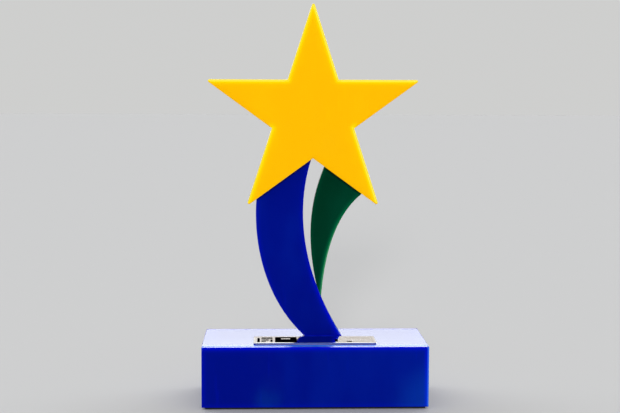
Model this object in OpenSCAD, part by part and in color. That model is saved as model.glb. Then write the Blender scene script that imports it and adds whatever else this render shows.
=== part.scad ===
// Star trophy: a star and two curved ribbons, cut from acrylic sheet,
// standing on a hollow acrylic box with a metal name plate.
// Millimetres, +Z up, the front faces -Y.
// Origin: middle of the underside of the pad that the trophy stands on.

/* [Base box] */
// Width of the box, left to right
base_w = 220; // [180:1:300]
// Depth of the box, front to back
base_d = 100; // [90:1:160]
// Height of the box, without the pad under it
base_h = 59; // [45:1:100]
// Thickness of the sheet that the box is made of
sheet_t = 5; // [3:0.5:6]
// Gap around the bottom plate, which drops in between the walls
bottom_gap = 0.3; // [0.2:0.1:1]
// Thickness of the soft pad under the box
pad_t = 2; // [1:0.5:5]
// How far the pad stays back from the walls
pad_inset = 3; // [1:0.5:10]

/* [Inside the box] */
// Side of each square corner block
block_side = 14; // [12:1:20]
// Width of the stiffening plate glued under the top
doubler_w = 80; // [60:1:120]
// Depth of the stiffening plate
doubler_d = 40; // [30:1:60]
// Thickness of the stiffening plate
doubler_t = 5; // [3:0.5:10]

/* [Star] */
// Centre of the star to each of its points, before they are rounded
star_r = 112.5; // [90:0.5:140]
// Thickness of the star's sheet
star_t = 8; // [5:0.5:12]
// Radius of each rounded point
point_r = 1.5; // [0.5:0.1:3]
// Height of the star's centre above the top of the box
star_rise = 223; // [180:1:300]
// Sideways place of the star's centre, from the middle of the box
star_x = -1.5; // [-10:0.5:10]
// Depth of the star's front face, behind the middle of the box
star_front = -1; // [-10:0.5:10]

/* [Ribbons] */
// Thickness of each ribbon's sheet
ribbon_t = 8; // [6:0.5:12]
// Thickness of the double-sided tape behind the star
tape_t = 1; // [0.5:0.1:2]
// Side of the square of tape between the star and the blue ribbon
blue_tape_side = 24; // [16:1:26]
// Side of the square block that fills the space between star and green ribbon
spacer_side = 16; // [10:1:18]

/* [Screws] */
// Radius of the screws that hold the blue ribbon's foot
foot_screw_r = 1.75; // [1.5:0.05:2]
// How far these screws reach into the ribbon
foot_screw_bite = 16; // [10:1:25]
// Distance between the two foot screws
foot_screw_pitch = 14; // [12:1:16]
// Sideways place of these screws from the middle of the foot, as the ribbon leans left
foot_screw_shift = -5; // [-6:0.5:-3]
// Radius of the screws that hold the bottom plate
bottom_screw_r = 1.5; // [1.25:0.05:2]
// Overall length of the bottom screws
bottom_screw_l = 16; // [12:1:25]
// Room around a screw where it only passes through
screw_gap = 0.25; // [0.1:0.05:0.5]
// Room around a screw in its pilot hole, in place of a thread
thread_gap = 0.05; // [0.02:0.01:0.1]

/* [Name plate] */
// Width of the plate
plaque_w = 120; // [80:1:160]
// Depth of the plate
plaque_d = 35; // [20:1:38]
// Thickness of the plate
plaque_t = 1; // [0.5:0.1:2]
// Corner radius of the plate
plaque_corner_r = 1; // [0.5:0.1:3]
// Thickness of the tape under the plate
plaque_tape_t = 0.5; // [0.2:0.1:1]
// How far that tape stays back from the plate's edges
plaque_tape_inset = 1.5; // [1:0.5:4]
// Gap between the plate and the star's front face, seen from above
plaque_setback = 1; // [1:0.5:10]

/* [Hidden] */
$fn = 64;

LEFT = -1;
RIGHT = 1;
FRONT = -1;
BACK = 1;

// Levels, from the ground up.
top_z = pad_t + base_h;
under_top_z = top_z - sheet_t;
bottom_plate_top_z = pad_t + sheet_t;
star_z = top_z + star_rise;

// Layers from front to back: star, tape, blue ribbon, green ribbon.
star_back = star_front + star_t;
blue_front = star_back + tape_t;
green_front = blue_front + ribbon_t;

// Each ribbon edge is one cubic curve. A control point is [place in mm from the middle
// of the box, height above the box as a share of star_rise].
blue_left_edge = [[-9, 0], [-72, 0.26], [-67.5, 0.75], [-35, 0.93]];
blue_right_edge = [[28.5, 0], [-35.5, 0.46], [-6, 0.81], [9.5, 0.93]];
green_left_edge = [[7.5, 0.15], [-15.5, 0.52], [3.5, 0.72], [25.5, 0.91]];
green_right_edge = [[7.5, 0.15], [10, 0.34], [20, 0.56], [53.5, 0.66]];
// Corner of the green ribbon's trimmed end, out of sight behind the star.
green_end_corner = [46, 0.79];
edge_steps = 32;

// Middles of the two bonds behind the star, as shares of star_r from its centre.
blue_bond_at = [-0.12, -0.24];
green_bond_at = [0.28, -0.42];

// A five-pointed star with straight arms: each arm's half angle, and the radius of its
// notches as a share of the radius of its points.
arm_half_angle = 18;
notch_share = sin(arm_half_angle) / cos(2 * arm_half_angle);
point_steps = 8;

blue_foot_x = (blue_left_edge[0][0] + blue_right_edge[0][0]) / 2;
blue_mid_y = blue_front + ribbon_t / 2;
washer_t = 1;
washer_r = 5;
pan_head_r = 3.5;
pan_head_h = 2.4;
sunk_head_r = 3;
sunk_head_h = 1.8;
recess_l = 3.4;
recess_w = 1;
recess_depth = 1.2;
// A cut runs this far past the face it opens.
past = 1;
block_from_wall = block_side / 2;

blue = [0.02, 0.1, 0.62];
steel = [0.75, 0.76, 0.78];
clear = [0.85, 0.9, 0.95];

function bezier(p, t) =
    pow(1 - t, 3) * p[0] + 3 * pow(1 - t, 2) * t * p[1]
    + 3 * (1 - t) * pow(t, 2) * p[2] + pow(t, 3) * p[3];

function edge_curve(p) = [
    for (i = [0 : edge_steps])
        let (q = bezier(p, i / edge_steps))
        [q[0], q[1] * star_rise]
];

function reversed(list) = [for (i = [len(list) - 1 : -1 : 0]) list[i]];

// The rounded tip of one arm, then the notch after it.
function star_arm(direction) =
    let (round_at = star_r - point_r / sin(arm_half_angle))
    concat(
        [for (i = [0 : point_steps])
            let (turn = (90 - arm_half_angle) * (2 * i / point_steps - 1))
            round_at * [cos(direction), sin(direction)]
            + point_r * [cos(direction + turn), sin(direction + turn)]],
        [star_r * notch_share
            * [cos(direction + 2 * arm_half_angle), sin(direction + 2 * arm_half_angle)]]
    );

module star_outline() {
    polygon([for (k = [0 : 4]) each star_arm(90 + 4 * k * arm_half_angle)]);
}

// Stands an outline up: its first axis runs along X and its second up Z.
module standing_sheet(front, thickness) {
    translate([0, front + thickness, 0])
        rotate([90, 0, 0])
            linear_extrude(thickness)
                children();
}

module behind_star(front, thickness, at, side) {
    translate([star_x + at[0] * star_r, 0, star_z + at[1] * star_r])
        standing_sheet(front, thickness)
            square(side, center = true);
}

module at_foot_screws(z) {
    for (side = [LEFT, RIGHT])
        translate([
            blue_foot_x + foot_screw_shift + side * foot_screw_pitch / 2,
            blue_mid_y,
            z
        ])
            children();
}

// Middle of one corner block, on the floor level z.
module at_corner(side, face, z) {
    translate([
        side * (base_w / 2 - sheet_t - block_from_wall),
        face * (base_d / 2 - sheet_t - block_from_wall),
        z
    ])
        children();
}

module at_corners(z) {
    for (side = [LEFT, RIGHT])
        for (face = [FRONT, BACK])
            at_corner(side, face, z)
                children();
}

// Cross recess in the underside of a head whose lowest point is at level 0.
module cross_recess() {
    for (turn = [0, 90])
        rotate(turn)
            translate([-recess_l / 2, -recess_w / 2, -past])
                cube([recess_l, recess_w, recess_depth + past]);
}

module base_pad() {
    color([0.06, 0.06, 0.07])
        translate([-base_w / 2 + pad_inset, -base_d / 2 + pad_inset, 0])
            cube([base_w - 2 * pad_inset, base_d - 2 * pad_inset, pad_t]);
}

module base_bottom() {
    inner_w = base_w - 2 * sheet_t - 2 * bottom_gap;
    inner_d = base_d - 2 * sheet_t - 2 * bottom_gap;
    color(blue)
        difference() {
            translate([-inner_w / 2, -inner_d / 2, pad_t])
                cube([inner_w, inner_d, sheet_t]);
            at_corners(pad_t) {
                translate([0, 0, -past])
                    cylinder(h = sheet_t + 2 * past, r = bottom_screw_r + screw_gap);
                cylinder(h = sunk_head_h, r1 = sunk_head_r, r2 = bottom_screw_r);
            }
        }
}

// Front or back wall: full width and full height.
module base_face(face) {
    color(blue)
        translate([-base_w / 2, face * (base_d - sheet_t) / 2 - sheet_t / 2, pad_t])
            cube([base_w, sheet_t, base_h]);
}

// Left or right wall: between the front and the back, under the top.
module base_end(side) {
    color(blue)
        translate([
            side * (base_w - sheet_t) / 2 - sheet_t / 2,
            -base_d / 2 + sheet_t,
            pad_t
        ])
            cube([sheet_t, base_d - 2 * sheet_t, base_h - sheet_t]);
}

module base_top() {
    color(blue)
        difference() {
            translate([-base_w / 2, -base_d / 2 + sheet_t, under_top_z])
                cube([base_w, base_d - 2 * sheet_t, sheet_t]);
            at_foot_screws(under_top_z - past)
                cylinder(h = sheet_t + 2 * past, r = foot_screw_r + screw_gap);
        }
}

module corner_block(side, face) {
    pilot_depth = bottom_screw_l - sheet_t + past;
    color(clear)
        at_corner(side, face, bottom_plate_top_z)
            difference() {
                translate([-block_side / 2, -block_side / 2, 0])
                    cube([block_side, block_side, under_top_z - bottom_plate_top_z]);
                translate([0, 0, -past])
                    cylinder(h = pilot_depth + past, r = bottom_screw_r + thread_gap);
            }
}

module top_doubler() {
    color(clear)
        difference() {
            translate([
                blue_foot_x - doubler_w / 2,
                blue_mid_y - doubler_d / 2,
                under_top_z - doubler_t
            ])
                cube([doubler_w, doubler_d, doubler_t]);
            at_foot_screws(under_top_z - doubler_t - past)
                cylinder(h = doubler_t + 2 * past, r = foot_screw_r + screw_gap);
        }
}

// Countersunk screws, heads down and level with the underside of the bottom plate.
module bottom_screws() {
    color(steel)
        at_corners(pad_t)
            difference() {
                union() {
                    cylinder(h = sunk_head_h, r1 = sunk_head_r, r2 = bottom_screw_r);
                    cylinder(h = bottom_screw_l, r = bottom_screw_r);
                }
                cross_recess();
            }
}

// Pan-head screws, driven upwards through washer, doubler and top into the ribbon.
module foot_screws() {
    head_z = under_top_z - doubler_t - washer_t;
    color(steel)
        at_foot_screws(head_z)
            difference() {
                union() {
                    translate([0, 0, -pan_head_h])
                        cylinder(h = pan_head_h, r = pan_head_r);
                    cylinder(h = top_z - head_z + foot_screw_bite, r = foot_screw_r);
                }
                translate([0, 0, -pan_head_h])
                    cross_recess();
            }
}

module foot_washers() {
    color(steel)
        at_foot_screws(under_top_z - doubler_t - washer_t)
            difference() {
                cylinder(h = washer_t, r = washer_r);
                translate([0, 0, -past])
                    cylinder(h = washer_t + 2 * past, r = foot_screw_r + screw_gap);
            }
}

module blue_ribbon() {
    color(blue)
        difference() {
            translate([0, 0, top_z])
                standing_sheet(blue_front, ribbon_t)
                    polygon(concat(
                        edge_curve(blue_left_edge),
                        reversed(edge_curve(blue_right_edge))
                    ));
            at_foot_screws(top_z - past)
                cylinder(h = foot_screw_bite + 2 * past, r = foot_screw_r + thread_gap);
        }
}

module green_ribbon() {
    end_corner = [green_end_corner[0], green_end_corner[1] * star_rise];
    left = edge_curve(green_left_edge);
    right = edge_curve(green_right_edge);
    color([0, 0.3, 0.16])
        translate([0, 0, top_z])
            standing_sheet(green_front, ribbon_t)
                // Both curves start at the same tip, so the second leaves it out.
                polygon(concat(
                    left,
                    [end_corner],
                    reversed([for (i = [1 : edge_steps]) right[i]])
                ));
}

module star_tape() {
    color("white")
        behind_star(star_back, tape_t, blue_bond_at, blue_tape_side);
}

module spacer_tape() {
    color("white")
        behind_star(star_back, tape_t, green_bond_at, spacer_side);
}

module green_spacer() {
    color(clear)
        behind_star(blue_front, ribbon_t, green_bond_at, spacer_side);
}

module star() {
    color([1, 0.75, 0])
        translate([star_x, 0, star_z])
            standing_sheet(star_front, star_t)
                star_outline();
}

// A flat rectangle with round corners, on top of the box and in front of the star.
module plaque_sheet(z, thickness, inset, corner_r) {
    middle_y = star_front - plaque_setback - plaque_d / 2;
    w = plaque_w - 2 * inset;
    d = plaque_d - 2 * inset;
    translate([0, middle_y, z])
        linear_extrude(thickness) {
            square([w - 2 * corner_r, d], center = true);
            square([w, d - 2 * corner_r], center = true);
            for (side = [LEFT, RIGHT])
                for (face = [FRONT, BACK])
                    translate([side * (w / 2 - corner_r), face * (d / 2 - corner_r)])
                        circle(corner_r);
        }
}

module plaque_tape() {
    color("white")
        plaque_sheet(top_z, plaque_tape_t, plaque_tape_inset, plaque_corner_r);
}

module plaque() {
    color(steel)
        plaque_sheet(top_z + plaque_tape_t, plaque_t, 0, plaque_corner_r);
}

base_pad();
base_bottom();
base_face(FRONT);  // base_front
base_face(BACK);  // base_back
base_end(LEFT);  // base_left
base_end(RIGHT);  // base_right
base_top();
corner_block(LEFT, FRONT);  // corner_block_front_left
corner_block(RIGHT, FRONT);  // corner_block_front_right
corner_block(LEFT, BACK);  // corner_block_back_left
corner_block(RIGHT, BACK);  // corner_block_back_right
top_doubler();
bottom_screws();
foot_screws();
foot_washers();
blue_ribbon();
green_ribbon();
star_tape();
spacer_tape();
green_spacer();
star();
plaque_tape();
plaque();
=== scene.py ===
"""Looks for the star trophy: sheets of polished acrylic with painted light and shade at their
edges, a printed metal name plate, a foam pad, plain studio floor and light, and the camera."""

import math

import bmesh
import bpy
import numpy as np
from mathutils import Matrix, Vector
from mathutils.geometry import delaunay_2d_cdt


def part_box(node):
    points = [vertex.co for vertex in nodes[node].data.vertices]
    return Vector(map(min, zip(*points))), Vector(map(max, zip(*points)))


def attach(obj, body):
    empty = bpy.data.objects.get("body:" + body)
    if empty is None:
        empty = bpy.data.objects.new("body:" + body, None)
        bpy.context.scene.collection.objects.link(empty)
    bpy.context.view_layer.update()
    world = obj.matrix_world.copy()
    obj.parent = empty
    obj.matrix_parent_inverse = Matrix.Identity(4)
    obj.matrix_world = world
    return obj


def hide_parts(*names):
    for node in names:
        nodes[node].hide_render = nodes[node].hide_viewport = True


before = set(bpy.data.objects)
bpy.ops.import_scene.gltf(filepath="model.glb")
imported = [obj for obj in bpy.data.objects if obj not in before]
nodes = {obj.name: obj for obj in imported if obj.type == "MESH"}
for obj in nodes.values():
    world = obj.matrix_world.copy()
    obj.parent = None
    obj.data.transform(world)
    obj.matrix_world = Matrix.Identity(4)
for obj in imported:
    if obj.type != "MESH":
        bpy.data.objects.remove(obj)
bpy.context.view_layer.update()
scene = bpy.context.scene

MM = 0.001
X, Y, Z = 0, 1, 2
BODY = "root"

# The plate's dark bars, in mm from its front left corner: left, right, front, back.
PLATE_BARS = (
    (3.5, 6.0, 5, 27),
    (7.5, 18.5, 23, 29),
    (7.5, 15.0, 14, 19),
    (16.5, 18.5, 6, 19),
    (7.5, 12.0, 6, 10),
    (21.0, 42.5, 4, 20),
    (21.0, 27.0, 20, 25),
    (36.0, 42.5, 20, 25),
    (21.0, 42.5, 25, 31),
    (80.0, 83.0, 8, 19),
    (91.5, 96.5, 6, 10),
)
PLATE_BORDER = 2.0 * MM
BORDER_SOFTNESS = 0.1 * MM
BAR_RISE = 0.08 * MM
BAR_CORNER = 0.4 * MM
BAR_CORNER_STEPS = 3


# ---------------------------------------------------------------- camera

CAMERA_AT = Vector((-0.0436, -1.205, 0.290))
CAMERA_DOWN = math.radians(4.60)
CAMERA_RIGHT = math.radians(1.87)
CAMERA_ROLL = math.radians(0.19)
CAMERA_LENS = 70.5
CAMERA_SENSOR = 36


def add_camera():
    """The photo's camera, fitted to the corners of the box that it shows."""
    data = bpy.data.cameras.new("camera")
    data.sensor_width = CAMERA_SENSOR
    data.lens = CAMERA_LENS
    data.clip_start = 0.01
    data.clip_end = 200
    camera = bpy.data.objects.new("camera", data)
    scene.collection.objects.link(camera)
    level = math.pi / 2
    turn = (
        Matrix.Rotation(-CAMERA_RIGHT, 4, "Z")
        @ Matrix.Rotation(level - CAMERA_DOWN, 4, "X")
        @ Matrix.Rotation(CAMERA_ROLL, 4, "Z")
    )
    camera.matrix_world = Matrix.Translation(CAMERA_AT) @ turn
    scene.camera = camera


# ---------------------------------------------------------------- material helpers


class Nodes:
    """A short way to add and link the nodes of one tree."""

    def __init__(self, tree):
        self.tree = tree
        self.tree.nodes.clear()

    def add(self, kind, inputs=None, **settings):
        """A new node with these settings, its inputs linked or set."""
        node = self.tree.nodes.new(kind)
        for name, value in settings.items():
            setattr(node, name, value)
        for name, value in (inputs or {}).items():
            self.put(node, name, value)
        return node

    def put(self, node, name, value):
        """Link an output to a node's input, or set the input to a value."""
        socket = node.inputs[name]
        if isinstance(value, bpy.types.NodeSocket):
            self.tree.links.new(value, socket)
        else:
            socket.default_value = value

    def math(self, operation, a, b=0.0, c=0.0):
        """The result of a sum on up to three values."""
        node = self.add("ShaderNodeMath", operation=operation)
        for place, value in enumerate((a, b, c)):
            self.put(node, place, value)
        return node.outputs[0]

    def ramp(self, value, low, high, to_low=0.0, to_high=1.0, smooth=True):
        """The value carried from the range low to high to the range to_low to to_high."""
        node = self.add(
            "ShaderNodeMapRange",
            {
                "Value": value,
                "From Min": low,
                "From Max": high,
                "To Min": to_low,
                "To Max": to_high,
            },
            interpolation_type="SMOOTHSTEP" if smooth else "LINEAR",
        )
        return node.outputs["Result"]

    def mix(self, factor, a, b):
        """Colour a where the factor is 0, colour b where it is 1."""
        node = self.add("ShaderNodeMix", data_type="RGBA")
        self.put(node, 0, factor)
        self.put(node, 6, a)
        self.put(node, 7, b)
        return node.outputs[2]

    def noise(self, scale, detail=2.0, roughness=0.5, stretch=(1, 1, 1)):
        """Noise in the part's own frame. A stretch under 1 draws it out along that axis."""
        coordinates = self.add("ShaderNodeTexCoord").outputs["Object"]
        mapping = self.add("ShaderNodeMapping", {"Vector": coordinates, "Scale": stretch})
        node = self.add(
            "ShaderNodeTexNoise",
            {
                "Vector": mapping.outputs[0],
                "Scale": scale,
                "Detail": detail,
                "Roughness": roughness,
            },
        )
        return node.outputs["Fac"]

    def bump(self, height, strength, distance):
        """The normal that a height gives, with the distance in metres."""
        node = self.add(
            "ShaderNodeBump",
            {"Height": height, "Strength": strength, "Distance": distance},
        )
        return node.outputs[0]


def new_material(name):
    """A new material, and its nodes, with none there yet."""
    material = bpy.data.materials.new(name)
    material.use_nodes = True
    return material, Nodes(material.node_tree)


def finish_material(tree, **inputs):
    """Add the surface shader with these inputs, an underscore for each space."""
    shader = tree.add("ShaderNodeBsdfPrincipled")
    for name, value in inputs.items():
        tree.put(shader, name.replace("_", " "), value)
    tree.add("ShaderNodeOutputMaterial", {"Surface": shader.outputs[0]})


def rgb(red, green, blue):
    """A colour given as the screen shows it, 0 to 255, as the renderer wants it."""
    linear = [
        c / 255 / 12.92 if c <= 10 else ((c / 255 + 0.055) / 1.055) ** 2.4
        for c in (red, green, blue)
    ]
    return (*linear, 1.0)


# ---------------------------------------------------------------- materials


def acrylic(name, body, painted_reflection_mottle, shade, rim, painted_highlight, rough=(0.035, 0.085), worn=0.05):
    """Polished acrylic sheet.

    Its faces carry an attribute of painted light: 1 at an edge painted as taking in light, 0 away
    from the edges, and below 0 at an edge painted as staying dark. The sheet has its body's colour
    with faint lighter patches at 0, a painted mottled reflection; towards 1 it turns to the rim
    colour and then the spark colour, painted edge highlights, and below 0 to the shade colour,
    painted shade. rough is the least and most roughness of its haze, and worn what scratches add
    to it.
    """
    material, tree = new_material(name)
    painted_light = tree.add("ShaderNodeAttribute", attribute_name="painted_light").outputs["Fac"]
    reflection_mottle = tree.noise(9, detail=3, roughness=0.55, stretch=(1.6, 1, 0.7))
    streaks = tree.noise(26, detail=3, roughness=0.6, stretch=(3.5, 1, 0.35))
    # Faint lighter patches: a painted mottled reflection.
    colour = tree.mix(tree.ramp(reflection_mottle, 0.42, 0.68, to_high=0.6), body, painted_reflection_mottle)
    colour = tree.mix(tree.ramp(streaks, 0.62, 0.72, to_high=0.12), colour, rim)
    # Painted shade towards edges that stay dark; the rim colour, a painted edge highlight, and the
    # spark colour, a brighter painted highlight, towards edges that take in light.
    colour = tree.mix(tree.ramp(painted_light, 0.0, -1.0, smooth=False), colour, shade)
    colour = tree.mix(tree.ramp(painted_light, 0.0, 0.6, smooth=False), colour, rim)
    colour = tree.mix(tree.ramp(painted_light, 0.55, 1.0), colour, painted_highlight)
    haze = tree.noise(34, detail=4, roughness=0.6)
    scratches = tree.noise(420, detail=2, stretch=(0.08, 1, 1))
    ripple = tree.noise(16, detail=1, roughness=0.4)
    finish_material(
        tree,
        Base_Color=colour,
        Roughness=tree.math(
            "ADD",
            tree.ramp(haze, 0.45, 0.75, *rough),
            tree.ramp(scratches, 0.66, 0.74, to_high=worn),
        ),
        Specular_IOR_Level=0.5,
        Normal=tree.bump(ripple, strength=0.05, distance=0.001),
    )
    return material


def plate_metal():
    """Mirror-polished metal with a satin field inside a polished border."""
    material, tree = new_material("plate_metal")
    low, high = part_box("plaque")
    coordinates = tree.add("ShaderNodeTexCoord").outputs["Object"]
    axes = tree.add("ShaderNodeSeparateXYZ", {0: coordinates})
    field = 1.0
    for axis in (X, Y):
        place = axes.outputs[axis]
        inner, outer = low[axis] + PLATE_BORDER, high[axis] - PLATE_BORDER
        past_low = tree.ramp(place, inner - BORDER_SOFTNESS, inner + BORDER_SOFTNESS)
        before_high = tree.ramp(place, outer + BORDER_SOFTNESS, outer - BORDER_SOFTNESS)
        field = tree.math("MULTIPLY", field, tree.math("MULTIPLY", past_low, before_high))
    grain = tree.noise(700, detail=3, roughness=0.6, stretch=(0.05, 1, 1))
    wipes = tree.noise(60, detail=3, roughness=0.6, stretch=(0.4, 1, 1))
    satin = tree.mix(grain, (0.56, 0.54, 0.52, 1), (0.68, 0.66, 0.64, 1))
    shine = tree.ramp(wipes, 0.3, 0.7, to_low=0.02, to_high=0.05)
    relief = tree.math("MULTIPLY_ADD", grain, 0.3, field)
    finish_material(
        tree,
        Base_Color=tree.mix(field, (0.93, 0.94, 0.95, 1), satin),
        Metallic=1.0,
        Roughness=tree.math("MULTIPLY_ADD", field, 0.02, shine),
        Normal=tree.bump(relief, strength=0.06, distance=0.0002),
    )
    return material


def bar_enamel():
    """Black enamel, matt so that it mirrors nothing."""
    material, tree = new_material("bar_enamel")
    flow = tree.noise(400, detail=3, roughness=0.6)
    finish_material(
        tree,
        Base_Color=tree.mix(flow, (0.0002, 0.0002, 0.0003, 1), (0.0016, 0.0016, 0.002, 1)),
        Roughness=tree.ramp(flow, 0.3, 0.7, to_low=0.7, to_high=0.9),
        Specular_IOR_Level=0.0,
        Normal=tree.bump(flow, strength=0.2, distance=0.0001),
    )
    return material


def clear_acrylic():
    """Clear acrylic with sawn sides, for the blocks and the stiffening plate."""
    material, tree = new_material("clear_acrylic")
    saw_marks = tree.noise(160, detail=3, roughness=0.6, stretch=(1, 1, 0.1))
    finish_material(
        tree,
        Base_Color=tree.mix(saw_marks, (0.62, 0.68, 0.70, 1), (0.80, 0.84, 0.86, 1)),
        Roughness=tree.ramp(saw_marks, 0.3, 0.7, to_low=0.12, to_high=0.35),
        Normal=tree.bump(saw_marks, strength=0.2, distance=0.0004),
    )
    return material


def bond_tape():
    """Pale foam tape with fine cells."""
    material, tree = new_material("bond_tape")
    cells = tree.noise(1500, detail=2)
    finish_material(
        tree,
        Base_Color=tree.mix(cells, (0.55, 0.56, 0.56, 1), (0.78, 0.79, 0.79, 1)),
        Roughness=0.7,
        Normal=tree.bump(cells, strength=0.3, distance=0.0003),
    )
    return material


def screw_steel():
    """Zinc-plated steel with turning marks around the screws' axes."""
    material, tree = new_material("screw_steel")
    turning = tree.noise(500, detail=2, stretch=(1, 1, 6))
    finish_material(
        tree,
        Base_Color=tree.mix(turning, (0.50, 0.50, 0.52, 1), (0.70, 0.70, 0.72, 1)),
        Metallic=1.0,
        Roughness=tree.ramp(turning, 0.3, 0.7, to_low=0.2, to_high=0.4),
        Normal=tree.bump(turning, strength=0.1, distance=0.0002),
    )
    return material


def pad_foam():
    """Black foam sheet with fine cells, whose black also serves as painted shade under the box."""
    material, tree = new_material("pad_foam")
    cells = tree.noise(1800, detail=3, roughness=0.7)
    finish_material(
        tree,
        Base_Color=tree.mix(cells, (0.006, 0.006, 0.007, 1), (0.022, 0.022, 0.024, 1)),
        Roughness=tree.ramp(cells, 0.3, 0.7, to_low=0.75, to_high=0.95),
        Normal=tree.bump(cells, strength=0.5, distance=0.0004),
    )
    return material


# ---------------------------------------------------------------- sheets

# Points that agree to this many decimals of a metre count as one, or as lying on a face.
SAME_DIGITS = 6
SAME = 10**-SAME_DIGITS
# The least turn at a point, as the sine of its angle, that makes it a corner.
LEAST_TURN = 1e-5


def face_axes(normal_axis, sign):
    """The two axes that span a face, so that first x second points out of it."""
    first, second = (normal_axis + 1) % 3, (normal_axis + 2) % 3
    return (first, second) if sign > 0 else (second, first)


def face_edges(node, normal_axis, sign):
    """The directed edges around a CAD node's outer face, as pairs of 2D points."""
    low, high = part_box(node)
    level = (high if sign > 0 else low)[normal_axis]
    first, second = face_axes(normal_axis, sign)
    mesh = nodes[node].data
    edges = set()
    for polygon in mesh.polygons:
        corners = [mesh.vertices[i].co for i in polygon.vertices]
        if any(abs(c[normal_axis] - level) >= SAME for c in corners):
            continue
        flat = [(round(c[first], SAME_DIGITS), round(c[second], SAME_DIGITS)) for c in corners]
        for a, b in zip(flat, flat[1:] + flat[:1]):
            if (b, a) in edges:
                edges.remove((b, a))
            else:
                edges.add((a, b))
    return edges


def face_loops(node, normal_axis, sign):
    """Outlines of a CAD node's outer face, the largest first, as arrays of 2D points."""
    after = dict(face_edges(node, normal_axis, sign))
    loops = []
    while after:
        start = min(after)
        loop = [start]
        while after[loop[-1]] != start:
            loop.append(after[loop[-1]])
        for point in loop:
            del after[point]
        loops.append(np.array(loop))
    return sorted(loops, key=lambda l: -np.ptp(l[:, 0]) * np.ptp(l[:, 1]))


def turning_points(loop):
    """The loop's points at which it turns, without those along its straight stretches."""
    before = loop - np.roll(loop, 1, axis=0)
    beyond = np.roll(loop, -1, axis=0) - loop
    cross = before[:, 0] * beyond[:, 1] - before[:, 1] * beyond[:, 0]
    lengths = np.linalg.norm(before, axis=1) * np.linalg.norm(beyond, axis=1)
    return loop[np.abs(cross) > LEAST_TURN * lengths]


def resampled(loop, step):
    """The loop with extra points, so that no stretch is longer than step."""
    points = []
    for a, b in zip(loop, np.roll(loop, -1, axis=0)):
        count = max(1, math.ceil(np.linalg.norm(b - a) / step))
        points += [a + (b - a) * i / count for i in range(count)]
    return np.array(points)


def outward(loop):
    """At each point of the loop, the mitred direction out of it."""
    beyond = np.roll(loop, -1, axis=0) - loop
    beyond /= np.linalg.norm(beyond, axis=1)[:, None]
    normals = np.stack([beyond[:, 1], -beyond[:, 0]], axis=1)
    before = np.roll(normals, 1, axis=0)
    return (normals + before) / (1 + (normals * before).sum(1))[:, None]


def edge_distances(points, loops):
    """Distance from each point to each edge of the loops, and the edges' outward normals."""
    starts = np.concatenate(loops)
    ends = np.concatenate([np.roll(l, -1, axis=0) for l in loops])
    along = ends - starts
    reach = ((points[:, None] - starts) * along).sum(2) / (along**2).sum(1)
    nearest = starts + np.clip(reach, 0, 1)[:, :, None] * along
    distances = np.linalg.norm(points[:, None] - nearest, axis=2)
    normals = np.stack([along[:, 1], -along[:, 0]], axis=1)
    return distances, normals / np.linalg.norm(normals, axis=1)[:, None]


def inside(points, loops):
    """Which points lie in the shape that the loops bound."""
    count = np.zeros(len(points), int)
    for loop in loops:
        ends = np.roll(loop, -1, axis=0)
        for a, b in zip(loop, ends):
            if a[1] == b[1]:
                continue
            spans = (a[1] > points[:, 1]) != (b[1] > points[:, 1])
            crossing = (b[0] - a[0]) * (points[:, 1] - a[1]) / (b[1] - a[1]) + a[0]
            count += spans & (points[:, 0] < crossing)
    return count % 2 == 1


# The mesh of a sheet: the step along its outline, the depths of the rows of points that follow
# the outline, the step of the grid inside them, and the steps around a rounded edge.
OUTLINE_STEP = 3.0 * MM
RIM_STEPS = (1.0 * MM, 2.2 * MM, 3.6 * MM, 5.2 * MM)
GRID_STEP = 7.0 * MM
ROUND_STEPS = 4
# A row's point is kept where it is at least this part of its depth away from every edge.
ROW_CLEARANCE = 0.97
MERGE_DISTANCE = 1e-7


def inner_points(loops):
    """Points inside the outline: rows that follow its edge, then a plain grid."""
    found = []
    for depth in RIM_STEPS:
        for loop in loops:
            row = loop - outward(loop) * depth
            away = edge_distances(row, loops)[0].min(1)
            found.append(row[(away > ROW_CLEARANCE * depth) & inside(row, loops)])
    low, high = loops[0].min(0), loops[0].max(0)
    columns = np.arange(low[0], high[0], GRID_STEP)
    rows = np.arange(low[1], high[1], GRID_STEP)
    grid = np.array([(x, y) for x in columns for y in rows])
    grid = grid[inside(grid, loops)]
    away = edge_distances(grid, loops)[0].min(1)
    found.append(grid[away > RIM_STEPS[-1] + GRID_STEP / 3])
    return np.concatenate(found)


def edge_light(normals, light):
    """How much painted light an edge that faces that way gets: above 0 a painted highlight, below
    0 painted shade.

    light holds the amount for edges that face along the first of face_axes, along the second,
    against the first and against the second. An edge between two of them gets a share of each.
    """
    along_first, along_second, against_first, against_second = light
    first, second = normals[..., 0], normals[..., 1]
    first_share = np.where(first > 0, along_first, against_first) * first**2
    second_share = np.where(second > 0, along_second, against_second) * second**2
    return np.clip(first_share + second_share, -1, 1)


def painted_light_at(points, loops, light, reach):
    """The painted light at points on a sheet's face: that of the edge that reaches them most."""
    distances, normals = edge_distances(points, loops)
    painted_lights = np.exp(-((distances / reach) ** 2)) * edge_light(normals, light)
    strongest = np.abs(painted_lights).argmax(1)
    return painted_lights[np.arange(len(points)), strongest]


def cap_triangles(caps):
    """The shape that the loops bound, in triangles.

    Returns its points, its triangles as triples of their numbers and, for each point, the
    numbers of the points given for it, those of the loops first.
    """
    given = np.concatenate([*caps, inner_points(caps)])
    starts = np.cumsum([0] + [len(cap) for cap in caps])
    constraints = [
        (start + i, start + (i + 1) % len(cap))
        for start, cap in zip(starts, caps)
        for i in range(len(cap))
    ]
    points, _, triangles, origins, _, _ = delaunay_2d_cdt(
        [Vector(point) for point in given], constraints, [], 0, MERGE_DISTANCE
    )
    points = np.array([tuple(point) for point in points])
    centres = points[np.array(triangles)].mean(axis=1)
    kept = [triangle for triangle, keep in zip(triangles, inside(centres, caps)) if keep]
    return points, kept, origins


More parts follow.
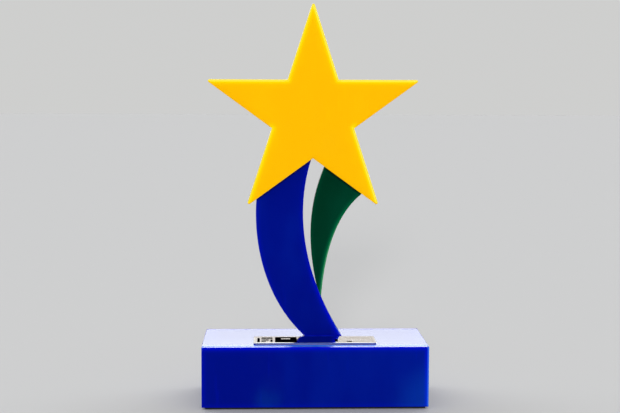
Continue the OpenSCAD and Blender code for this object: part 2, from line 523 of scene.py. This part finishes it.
class SheetMesh:
    """The mesh of one sheet, in place of a CAD node whose outer side faces the way given."""

    def __init__(self, node, facing):
        self.normal_axis, sign = facing
        self.axes = face_axes(*facing)
        low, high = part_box(node)
        outer, inner = (high, low) if sign > 0 else (low, high)
        self.outer, self.inner = outer[self.normal_axis], inner[self.normal_axis]
        self.mesh = bmesh.new()
        self.painted_light_layer = self.mesh.verts.layers.float.new("painted_light")

    def vertex(self, point, level, painted_light):
        """A new vertex at a 2D point of the sheet, at that level across it."""
        place = [0.0, 0.0, 0.0]
        place[self.axes[0]], place[self.axes[1]] = point
        place[self.normal_axis] = level
        made = self.mesh.verts.new(place)
        made[self.painted_light_layer] = float(painted_light)
        return made

    def add_sides(self, outlines, rounding, light, wall):
        """The narrow sides with their rounded edges: for each outline, its rings of vertices."""
        inwards = math.copysign(1, self.inner - self.outer)
        turns = [math.pi / 2 * i / ROUND_STEPS for i in range(ROUND_STEPS + 1)]
        profile = [(rounding * (1 - math.sin(t)), rounding * (1 - math.cos(t))) for t in turns]
        steps = [(inset, self.outer + inwards * depth) for inset, depth in profile]
        steps += [(inset, self.inner - inwards * depth) for inset, depth in reversed(profile)]
        stacks = []
        for loop in outlines:
            out = outward(loop)
            painted_lights = np.clip(edge_light(out, light), *wall)
            stacks.append([
                [self.vertex(point, level, painted_light) for point, painted_light in zip(loop - out * inset, painted_lights)]
                for inset, level in steps
            ])
        for stack in stacks:
            for ring, beyond in zip(stack, stack[1:]):
                for i in range(len(ring)):
                    j = (i + 1) % len(ring)
                    side = self.mesh.faces.new((ring[j], ring[i], beyond[i], beyond[j]))
                    side.smooth = True
        return stacks

    def add_caps(self, stacks, outlines, rounding, light, reach):
        """The outer and the inner face, flat, between the outermost rings of the sides."""
        caps = [loop - outward(loop) * rounding for loop in outlines]
        rim_count = sum(len(cap) for cap in caps)
        points, triangles, origins = cap_triangles(caps)
        painted_lights = painted_light_at(points, outlines, light, reach)
        for level, ring, flipped in ((self.outer, 0, False), (self.inner, -1, True)):
            rim = [vertex for stack in stacks for vertex in stack[ring]]
            corners = [
                rim[origin[0]]
                if origin and origin[0] < rim_count
                else self.vertex(point, level, painted_light)
                for point, painted_light, origin in zip(points, painted_lights, origins)
            ]
            for triangle in triangles:
                order = reversed(triangle) if flipped else triangle
                self.mesh.faces.new([corners[i] for i in order])

    def finished(self):
        """The mesh without loose vertices, and with its faces turned outwards."""
        loose = [vertex for vertex in self.mesh.verts if not vertex.link_faces]
        bmesh.ops.delete(self.mesh, geom=loose, context="VERTS")
        bmesh.ops.recalc_face_normals(self.mesh, faces=self.mesh.faces)
        return self.mesh


def add_piece(name, mesh, material):
    """An object from a finished bmesh, on the trophy's only body."""
    data = bpy.data.meshes.new(name)
    mesh.to_mesh(data)
    mesh.free()
    data.materials.append(material)
    piece = bpy.data.objects.new(name, data)
    scene.collection.objects.link(piece)
    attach(piece, BODY)
    return piece


def add_sheet(name, node, facing, material, rounding, light, wall, reach):
    """A sheet in place of a CAD node, with rounded edges and an attribute of painted edge light.

    facing is the axis and sign of its outer side, light as edge_light takes it, wall the
    least and most painted light on its narrow sides, and reach how far it paints into its faces.
    """
    outlines = [
        resampled(turning_points(loop), OUTLINE_STEP) for loop in face_loops(node, *facing)
    ]
    sheet = SheetMesh(node, facing)
    stacks = sheet.add_sides(outlines, rounding, light, wall)
    sheet.add_caps(stacks, outlines, rounding, light, reach)
    piece = add_piece(name, sheet.finished(), material)
    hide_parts(node)


# ---------------------------------------------------------------- the trophy

FRONT, BACK = (Y, -1), (Y, 1)
LEFT, RIGHT = (X, -1), (X, 1)
TOP, BOTTOM = (Z, 1), (Z, -1)

# The rim and spark colours below are painted edge highlights, and the shade colours painted shade.
yellow = acrylic(
    "yellow_acrylic",
    body=rgb(255, 188, 0),
    painted_reflection_mottle=rgb(255, 193, 1),
    shade=rgb(205, 120, 0),
    rim=rgb(255, 222, 0),
    painted_highlight=rgb(255, 246, 96),
)
blue = acrylic(
    "blue_acrylic",
    body=rgb(0, 12, 129),
    painted_reflection_mottle=rgb(0, 26, 144),
    shade=rgb(0, 4, 92),
    rim=rgb(0, 8, 200),
    painted_highlight=rgb(46, 108, 234),
)
# The top panel's copy of the blue acrylic: hazier, and with brighter painted edge highlights,
# which paint a bright strip along its front edge.
blue_hazy_painted_edge = acrylic(
    "blue_acrylic_hazy_painted_edge",
    body=rgb(0, 12, 129),
    painted_reflection_mottle=rgb(0, 22, 138),
    shade=rgb(0, 4, 92),
    rim=rgb(24, 64, 236),
    painted_highlight=rgb(48, 148, 255),
    rough=(0.19, 0.22),
    worn=0.01,
)
green = acrylic(
    "green_acrylic",
    body=rgb(0, 49, 30),
    painted_reflection_mottle=rgb(0, 68, 47),
    shade=rgb(0, 30, 14),
    rim=rgb(0, 96, 57),
    painted_highlight=rgb(64, 150, 98),
)

# name, node, facing, material, slot, rounding in mm, light, wall, reach in mm
# The light's numbers set the painted edge light. The first two are for edges that face right
# and up on the front sheets, right and back on the top ones, back and up on the right one, up
# and right on the back one, and up and back on the left one. The other two are for edges that
# face the opposite ways.
SHEETS = (
    ("star_sheet", "star", FRONT, yellow, "yellow_acrylic", 0.4,
     (1, 1, 0.75, -0.55), (-0.3, 0.7), 3.4),
    ("blue_band", "blue_ribbon", FRONT, blue, "blue_acrylic", 0.3,
     (0.18, 2.3, 0.2, 0), (0.25, 0.8), 3.4),
    ("green_band", "green_ribbon", FRONT, green, "green_acrylic", 0.5,
     (1, 0.5, 0.1, -0.3), (0.1, 1), 2.6),
    ("front_panel", "base_front", FRONT, blue, "blue_acrylic", 0.5,
     (0.9, 0.6, 0.25, 0.2), (0.2, 0.9), 3.2),
    ("back_panel", "base_back", BACK, blue, "blue_acrylic", 0.5,
     (0.3, 0.4, 0.2, 0.4), (0.1, 0.3), 3.5),
    ("left_panel", "base_left", LEFT, blue, "blue_acrylic", 0.5,
     (0.3, 0.3, 0.3, 0.2), (0.2, 0.3), 3.5),
    ("right_panel", "base_right", RIGHT, blue, "blue_acrylic", 0.5,
     (0.3, 0.3, 0.3, 0.2), (0.2, 0.3), 3.5),
    ("top_panel", "base_top", TOP, blue_hazy_painted_edge, "blue_acrylic", 0.5,
     (0.2, 0.1, 0.2, 1), (0.1, 1), 6.5),
    ("bottom_panel", "base_bottom", BOTTOM, blue, "blue_acrylic", 0.5,
     (0, 0, 0, 0), (0, 0), 3.0),
    ("name_plate", "plaque", TOP, plate_metal(), "plate_metal", 0.15,
     (0, 0, 0, 0), (0, 0), 3.0),
)
for name, node, facing, material, slot, rounding, light, wall, reach in SHEETS:
    add_sheet(name, node, facing, material, rounding * MM, light, wall, reach * MM)


def add_plate_bars():
    """Low slabs of dark enamel on the name plate, with rounded corners, open underneath."""
    low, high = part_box("plaque")
    mesh = bmesh.new()
    for left, right, front, back in PLATE_BARS:
        bar = bmesh.ops.create_cube(mesh, size=1)["verts"]
        centre = (low[X] + (left + right) / 2 * MM, low[Y] + (front + back) / 2 * MM, high[Z])
        size = ((right - left) * MM, (back - front) * MM, 2 * BAR_RISE)
        place = Matrix.Translation(centre) @ Matrix.Diagonal((*size, 1))
        bmesh.ops.transform(mesh, matrix=place, verts=bar)
        upright = [
            edge for edge in mesh.edges
            if edge.verts[0] in bar
            and abs(edge.verts[0].co.z - edge.verts[1].co.z) > BAR_RISE
        ]
        bmesh.ops.bevel(
            mesh,
            geom=upright,
            offset=BAR_CORNER,
            segments=BAR_CORNER_STEPS,
            affect="EDGES",
            clamp_overlap=True,
        )
    hidden = [face for face in mesh.faces if all(v.co.z < high[Z] for v in face.verts)]
    bmesh.ops.delete(mesh, geom=hidden, context="FACES")
    add_piece("plate_bars", mesh, bar_enamel())


add_plate_bars()

# The CAD nodes that keep their own shape, by the material they get.
KEPT = (
    (
        clear_acrylic(),
        (
            "corner_block_front_left",
            "corner_block_front_right",
            "corner_block_back_left",
            "corner_block_back_right",
            "top_doubler",
            "green_spacer",
        ),
    ),
    (bond_tape(), ("star_tape", "spacer_tape", "plaque_tape")),
    (screw_steel(), ("bottom_screws", "foot_screws", "foot_washers")),
    (pad_foam(), ("base_pad",)),
)
for material, names in KEPT:
    for name in names:
        nodes[name].data.materials.clear()
        nodes[name].data.materials.append(material)


# ---------------------------------------------------------------- studio

FLOOR_REACH = 60.0
FLOOR_COLOUR = (0.57, 0.56145, 0.5472)
FLOOR_GRAIN = 0.04

# The camera sees the backdrop. The other colours are those of the room that the sheets mirror.
BACKDROP = (0.620, 0.622, 0.615, 1)
DARK = (0.008, 0.028, 0.035, 1)
OVERHEAD = (0.85, 0.85, 0.86, 1)
LOW_WALL = (0.75, 0.70, 0.64, 1)
SOFTBOX = (4.8, 5.12, 5.55, 1)

# Where one part of the room gives way to the next, as the sine of the angle above the horizon.
LOW_TO_ROOM = (-0.05, 0.0)
DARK_TO_CEILING = (0.35, 0.80)
WALL_TO_SOFTBOX = (0.198, 0.214)
SOFTBOX_TO_CEILING = (0.36, 0.50)
# The same from the room's front to its back, as the part of a direction that points back.
FRONT_TO_BACK = (-0.1, 0.35)

# Soft spots of blue light low in front, which the box's front mirrors: where each one lies,
# the angles from there, in degrees, at which it begins and is full, and its colour.
GLINTS = (
    ((0.140, -0.960, -0.242), 2.6, 0.4, (0.03, 0.50, 1.60, 1)),
    ((-0.002, -0.972, -0.236), 0.8, 0.2, (0.02, 0.32, 0.70, 1)),
)


def add_floor():
    """A wide pale floor. Sheets don't mirror it, so their faces stay clean."""
    data = bpy.data.meshes.new("floor")
    corners = [
        (across * FLOOR_REACH, deep * FLOOR_REACH, 0)
        for across, deep in ((-1, -1), (1, -1), (1, 1), (-1, 1))
    ]
    data.from_pydata(corners, [], [(0, 1, 2, 3)])
    material, tree = new_material("floor")
    grain = tree.noise(900, detail=3)
    darker = [part * (1 - FLOOR_GRAIN) for part in FLOOR_COLOUR]
    lighter = [part * (1 + FLOOR_GRAIN) for part in FLOOR_COLOUR]
    finish_material(
        tree,
        Base_Color=tree.mix(grain, (*darker, 1), (*lighter, 1)),
        Roughness=0.9,
        Specular_IOR_Level=0.0,
    )
    data.materials.append(material)
    floor = bpy.data.objects.new("floor", data)
    floor.visible_glossy = False
    scene.collection.objects.link(floor)


def glints(tree, direction):
    """The dark below the horizon, with the soft spots of light in it."""
    low = DARK
    for towards, begins, full, light in GLINTS:
        closeness = tree.add(
            "ShaderNodeVectorMath",
            {0: direction, 1: Vector(towards).normalized()},
            operation="DOT_PRODUCT",
        ).outputs["Value"]
        reach = [math.cos(math.radians(angle)) for angle in (begins, full)]
        low = tree.mix(tree.ramp(closeness, *reach), low, light)
    return low


def add_world():
    """A dark front, a low pale wall and a wide softbox behind, a pale ceiling.

    The camera itself sees a plain backdrop instead.
    """
    world = bpy.data.worlds.new("studio")
    world.use_nodes = True
    scene.world = world
    tree = Nodes(world.node_tree)
    direction = tree.add("ShaderNodeTexCoord").outputs["Generated"]
    axes = tree.add("ShaderNodeSeparateXYZ", {0: direction})
    up, behind = axes.outputs[2], axes.outputs[1]
    front = tree.mix(tree.ramp(up, *DARK_TO_CEILING), DARK, OVERHEAD)
    back = tree.mix(tree.ramp(up, *WALL_TO_SOFTBOX), LOW_WALL, SOFTBOX)
    back = tree.mix(tree.ramp(up, *SOFTBOX_TO_CEILING), back, OVERHEAD)
    room = tree.mix(tree.ramp(behind, *FRONT_TO_BACK), front, back)
    room = tree.mix(tree.ramp(up, *LOW_TO_ROOM), glints(tree, direction), room)
    seen = tree.add("ShaderNodeLightPath").outputs["Is Camera Ray"]
    background = tree.add("ShaderNodeBackground", {"Color": tree.mix(seen, room, BACKDROP)})
    tree.add("ShaderNodeOutputWorld", {"Surface": background.outputs[0]})


def add_sun(name, strength, softness, turn, height):
    """A soft sun, which sheets don't mirror. Its angles are in degrees.

    turn is where it stands, from straight in front towards the right.
    """
    data = bpy.data.lights.new(name, "SUN")
    data.energy = strength
    data.angle = math.radians(softness)
    light = bpy.data.objects.new(name, data)
    side, lift = math.radians(turn), math.radians(height)
    stands = Vector((
        math.sin(side) * math.cos(lift),
        -math.cos(side) * math.cos(lift),
        math.sin(lift),
    ))
    light.rotation_euler = stands.to_track_quat("Z", "Y").to_euler()
    light.visible_glossy = False
    scene.collection.objects.link(light)


add_camera()
add_floor()
add_world()
add_sun("key", strength=2.02, softness=9, turn=-5, height=12)
scene.view_settings.view_transform = "Standard"
